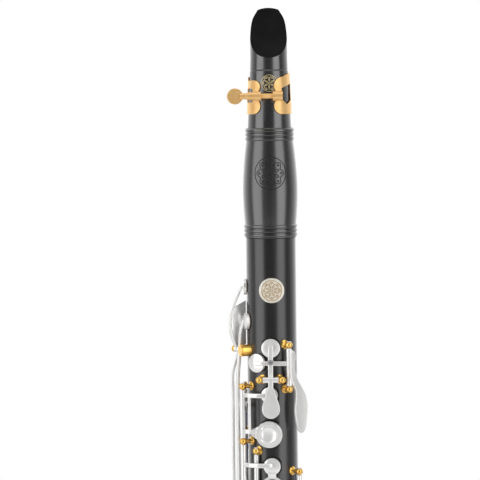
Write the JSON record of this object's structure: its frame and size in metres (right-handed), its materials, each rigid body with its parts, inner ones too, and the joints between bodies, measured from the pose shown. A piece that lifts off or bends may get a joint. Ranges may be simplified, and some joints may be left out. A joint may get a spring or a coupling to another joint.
{
  "type": "soprano clarinet",
  "caption": "Boehm clarinet standing on its bell: mouthpiece, barrel, two jointed bodies, bell, and hinged keys and finger rings that cover side tone holes.",
  "frame": {"origin": "centre of the bell's mouth, on the plane it stands on", "axes": "+Z along the bore towards the mouthpiece, -Y out of the finger holes, +X to the right seen from the front"},
  "size_m": [0.08, 0.08, 0.667],
  "materials": {
    "grenadilla": "dense black blackwood, oiled and polished",
    "ebonite": "black hard rubber, polished, with a matt beak",
    "cane": "raw reed cane with fine lengthwise fibres",
    "cork": "sanded sheet cork",
    "gold_plate": "polished gold plate",
    "medallion_gold": "satin pale gold",
    "silver_plate": "polished silver plate",
    "steel": "bright ground steel",
    "blued_steel": "blued spring steel",
    "pad_skin": "pale bladder skin over felt"
  },
  "bodies": {
    "bell": {"bell": "grenadilla"},
    "lower_joint": {"lower_joint": "grenadilla", "bell_tenon_cork": "cork", "lower_posts": "gold_plate", "lower_hinge_rods": "steel", "lower_needle_springs": "blued_steel", "thumb_rest": "silver_plate", "thumb_rest_screws": "steel"},
    "upper_joint": {"upper_joint": "grenadilla", "upper_joint_corks": "cork", "upper_posts": "gold_plate", "upper_hinge_rods": "steel", "upper_needle_springs": "blued_steel", "medallion": "medallion_gold", "bore_tubes": "steel"},
    "barrel": {"barrel": "grenadilla"},
    "mouthpiece": {"mouthpiece": "ebonite", "mouthpiece_cork": "cork", "reed": "cane", "ligature_band": "gold_plate"},
    "ligature_screw": {"ligature_screw": "gold_plate"},
    "register_key": {"register_key": "silver_plate", "register_pad": "pad_skin"},
    "throat_a_key": {"throat_a_key": "silver_plate", "throat_a_pad": "pad_skin", "a_adjusting_screw": "steel"},
    "throat_g_sharp_key": {"throat_g_sharp_key": "silver_plate", "throat_g_sharp_pad": "pad_skin"},
    "upper_stack": {"upper_stack_key": "silver_plate", "upper_stack_pads": "pad_skin"},
    "thumb_ring": {"thumb_ring_key": "silver_plate"},
    "second_finger_key": {"second_finger_key": "silver_plate", "second_finger_pad": "pad_skin"},
    "e_flat_b_flat_key": {"e_flat_b_flat_key": "silver_plate", "e_flat_b_flat_pad": "pad_skin"},
    "side_key_1": {"side_key_1": "silver_plate", "side_key_1_pad": "pad_skin"},
    "side_key_2": {"side_key_2": "silver_plate", "side_key_2_pad": "pad_skin"},
    "side_key_3": {"side_key_3": "silver_plate", "side_key_3_pad": "pad_skin"},
    "side_key_4": {"side_key_4": "silver_plate", "side_key_4_pad": "pad_skin"},
    "c_sharp_g_sharp_key": {"c_sharp_g_sharp_key": "silver_plate", "c_sharp_g_sharp_pad": "pad_skin"},
    "rh_rings": {"rh_ring_key": "silver_plate", "rh_ring_pad": "pad_skin"},
    "b_f_sharp_key": {"b_f_sharp_key": "silver_plate", "b_f_sharp_pad": "pad_skin"},
    "a_flat_e_flat_key": {"a_flat_e_flat_key": "silver_plate", "a_flat_e_flat_pad": "pad_skin"},
    "f_c_key": {"f_c_key": "silver_plate", "f_c_pad": "pad_skin"},
    "e_b_key": {"e_b_key": "silver_plate", "e_b_pad": "pad_skin"},
    "f_sharp_c_sharp_key": {"f_sharp_c_sharp_key": "silver_plate", "f_sharp_c_sharp_pad": "pad_skin"},
    "left_e_b_lever": {"left_e_b_lever": "silver_plate"},
    "left_f_sharp_c_sharp_lever": {"left_f_sharp_c_sharp_lever": "silver_plate"},
    "left_f_c_lever": {"left_f_c_lever": "silver_plate"}
  },
  "joints": [
    {"name": "lower_joint_pull", "type": "slide", "parent": "bell", "child": "lower_joint", "axis": [0, 0, 1], "range_m": [0, 0.02]},
    {"name": "upper_joint_pull", "type": "slide", "parent": "lower_joint", "child": "upper_joint", "axis": [0, 0, 1], "range_m": [0, 0.02]},
    {"name": "barrel_pull", "type": "slide", "parent": "upper_joint", "child": "barrel", "axis": [0, 0, 1], "range_m": [0, 0.017]},
    {"name": "mouthpiece_pull", "type": "slide", "parent": "barrel", "child": "mouthpiece", "axis": [0, 0, 1], "range_m": [0, 0.017]},
    {"name": "ligature_screw_turn", "type": "hinge", "parent": "mouthpiece", "child": "ligature_screw", "pos_m": [0, -0.0172, 0.6142], "axis": [1, 0, 0], "range_deg": [-180, 180]},
    {"name": "register_key_hinge", "type": "hinge", "parent": "upper_joint", "child": "register_key", "pos_m": [0, 0.0195, 0.478], "axis": [-1, 0, 0], "range_deg": [0, 2.6], "stiffness_Nm_per_rad": 0.02, "springref_deg": -17.19},
    {"name": "throat_a_key_hinge", "type": "hinge", "parent": "upper_joint", "child": "throat_a_key", "pos_m": [-0.0012, -0.01956, 0.4442], "axis": [0.9981, -0.061, 0], "range_deg": [0, 5], "stiffness_Nm_per_rad": 0.02, "springref_deg": -17.19},
    {"name": "throat_g_sharp_key_hinge", "type": "hinge", "parent": "upper_joint", "child": "throat_g_sharp_key", "pos_m": [0.01, -0.01732, 0], "axis": [0, 0, 1], "range_deg": [0, 5.5], "stiffness_Nm_per_rad": 0.02, "springref_deg": -17.19},
    {"name": "upper_stack_hinge", "type": "hinge", "parent": "upper_joint", "child": "upper_stack", "pos_m": [-0.01808, -0.01108, 0], "axis": [0, 0, 1], "range_deg": [0, 4], "stiffness_Nm_per_rad": 0.02, "springref_deg": -17.19},
    {"name": "thumb_ring_hinge", "type": "hinge", "parent": "upper_joint", "child": "thumb_ring", "pos_m": [-0.01671, 0.01004, 0], "axis": [0, 0, 1], "range_deg": [-3.6, 0], "stiffness_Nm_per_rad": 0.02, "springref_deg": 17.19},
    {"name": "second_finger_key_hinge", "type": "hinge", "parent": "upper_joint", "child": "second_finger_key", "pos_m": [-0.01808, -0.01108, 0], "axis": [0, 0, 1], "range_deg": [0, 4], "stiffness_Nm_per_rad": 0.02, "springref_deg": -17.19},
    {"name": "e_flat_b_flat_key_hinge", "type": "hinge", "parent": "upper_joint", "child": "e_flat_b_flat_key", "pos_m": [-0.0104, -0.01432, 0], "axis": [0, 0, 1], "range_deg": [0, 6], "stiffness_Nm_per_rad": 0.02, "springref_deg": -17.19},
    {"name": "side_key_1_hinge", "type": "hinge", "parent": "upper_joint", "child": "side_key_1", "pos_m": [-0.01279, 0.01472, 0], "axis": [0, 0, 1], "range_deg": [0, 6], "stiffness_Nm_per_rad": 0.02, "springref_deg": -17.19},
    {"name": "side_key_2_hinge", "type": "hinge", "parent": "upper_joint", "child": "side_key_2", "pos_m": [-0.01671, 0.01004, 0], "axis": [0, 0, 1], "range_deg": [0, 6], "stiffness_Nm_per_rad": 0.02, "springref_deg": -17.19},
    {"name": "side_key_3_hinge", "type": "hinge", "parent": "upper_joint", "child": "side_key_3", "pos_m": [-0.01715, -0.00693, 0.461], "axis": [0.3746, -0.9272, 0], "range_deg": [0, 2.4], "stiffness_Nm_per_rad": 0.02, "springref_deg": -17.19},
    {"name": "side_key_4_hinge", "type": "hinge", "parent": "upper_joint", "child": "side_key_4", "pos_m": [-0.01715, -0.00693, 0.461], "axis": [0.3746, -0.9272, 0], "range_deg": [0, 2.4], "stiffness_Nm_per_rad": 0.02, "springref_deg": -17.19},
    {"name": "c_sharp_g_sharp_key_hinge", "type": "hinge", "parent": "upper_joint", "child": "c_sharp_g_sharp_key", "pos_m": [0.01547, -0.01345, 0], "axis": [0, 0, 1], "range_deg": [0, 6], "stiffness_Nm_per_rad": 0.02, "springref_deg": -17.19},
    {"name": "rh_rings_hinge", "type": "hinge", "parent": "lower_joint", "child": "rh_rings", "pos_m": [-0.01833, -0.01123, 0], "axis": [0, 0, 1], "range_deg": [0, 3.5], "stiffness_Nm_per_rad": 0.02, "springref_deg": -17.19},
    {"name": "b_f_sharp_key_hinge", "type": "hinge", "parent": "lower_joint", "child": "b_f_sharp_key", "pos_m": [-0.0104, -0.01432, 0], "axis": [0, 0, 1], "range_deg": [0, 5], "stiffness_Nm_per_rad": 0.02, "springref_deg": -17.19},
    {"name": "a_flat_e_flat_key_hinge", "type": "hinge", "parent": "lower_joint", "child": "a_flat_e_flat_key", "pos_m": [-0.0201, -0.00895, 0], "axis": [0, 0, 1], "range_deg": [0, 6], "stiffness_Nm_per_rad": 0.02, "springref_deg": -17.19},
    {"name": "f_c_key_hinge", "type": "hinge", "parent": "lower_joint", "child": "f_c_key", "pos_m": [-0.0201, -0.00895, 0], "axis": [0, 0, 1], "range_deg": [0, 5.5], "stiffness_Nm_per_rad": 0.02, "springref_deg": -17.19},
    {"name": "e_b_key_hinge", "type": "hinge", "parent": "lower_joint", "child": "e_b_key", "pos_m": [0.01942, -0.01033, 0], "axis": [0, 0, 1], "range_deg": [-6, 0], "stiffness_Nm_per_rad": 0.02, "springref_deg": 17.19},
    {"name": "f_sharp_c_sharp_key_hinge", "type": "hinge", "parent": "lower_joint", "child": "f_sharp_c_sharp_key", "pos_m": [0.02199, -0.00077, 0], "axis": [0, 0, 1], "range_deg": [-5.5, 0], "stiffness_Nm_per_rad": 0.02, "springref_deg": 17.19},
    {"name": "left_e_b_lever_hinge", "type": "hinge", "parent": "lower_joint", "child": "left_e_b_lever", "pos_m": [0.01942, -0.01033, 0], "axis": [0, 0, 1], "range_deg": [-6, 0], "stiffness_Nm_per_rad": 0.02, "springref_deg": 17.19},
    {"name": "left_f_sharp_c_sharp_lever_hinge", "type": "hinge", "parent": "lower_joint", "child": "left_f_sharp_c_sharp_lever", "pos_m": [0.02199, -0.00077, 0], "axis": [0, 0, 1], "range_deg": [-5.5, 0], "stiffness_Nm_per_rad": 0.02, "springref_deg": 17.19},
    {"name": "left_f_c_lever_hinge", "type": "hinge", "parent": "lower_joint", "child": "left_f_c_lever", "pos_m": [0.0201, 0.00895, 0], "axis": [0, 0, 1], "range_deg": [-5.5, 0], "stiffness_Nm_per_rad": 0.02, "springref_deg": 17.19}
  ],
  "couplings": [
    {"joint": "thumb_ring_hinge", "follows": "upper_stack_hinge", "ratio": -0.9},
    {"joint": "left_e_b_lever_hinge", "follows": "e_b_key_hinge", "ratio": 1},
    {"joint": "left_f_sharp_c_sharp_lever_hinge", "follows": "f_sharp_c_sharp_key_hinge", "ratio": 1},
    {"joint": "left_f_c_lever_hinge", "follows": "f_c_key_hinge", "ratio": -1}
  ]
}
